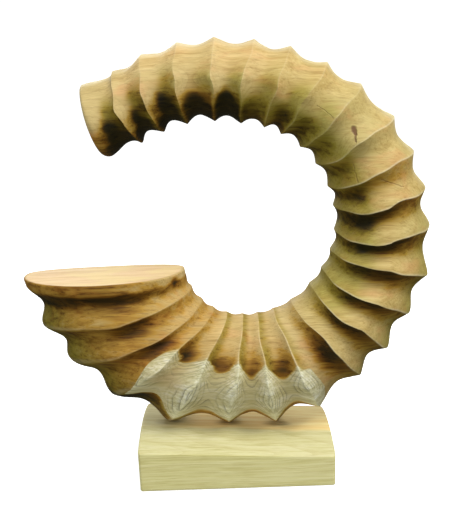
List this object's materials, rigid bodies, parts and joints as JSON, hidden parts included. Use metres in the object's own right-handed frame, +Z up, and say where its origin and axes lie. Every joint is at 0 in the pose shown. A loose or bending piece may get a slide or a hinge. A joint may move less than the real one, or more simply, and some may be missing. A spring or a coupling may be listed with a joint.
{
  "type": "carved horn sculpture",
  "caption": "Solid wooden carving of a ridged spiral horn with a flat closed bell, standing on its ridge tips on a round-topped wooden block.",
  "frame": {"origin": "centre of the base block's underside", "axes": "+Z up, +X to the viewer's right with the bell at the left, +Y away from the viewer towards the flatter back"},
  "size_m": [0.4095, 0.11, 0.4437],
  "materials": {
    "horn_wood": "satin",
    "base_wood": "satin",
    "screw_steel": "bright zinc",
    "washer_steel": "bright zinc"
  },
  "bodies": {
    "root": {"horn": "horn_wood", "base_block": "base_wood", "fixing_screws": "screw_steel", "screw_washers": "washer_steel"}
  },
  "joints": []
}
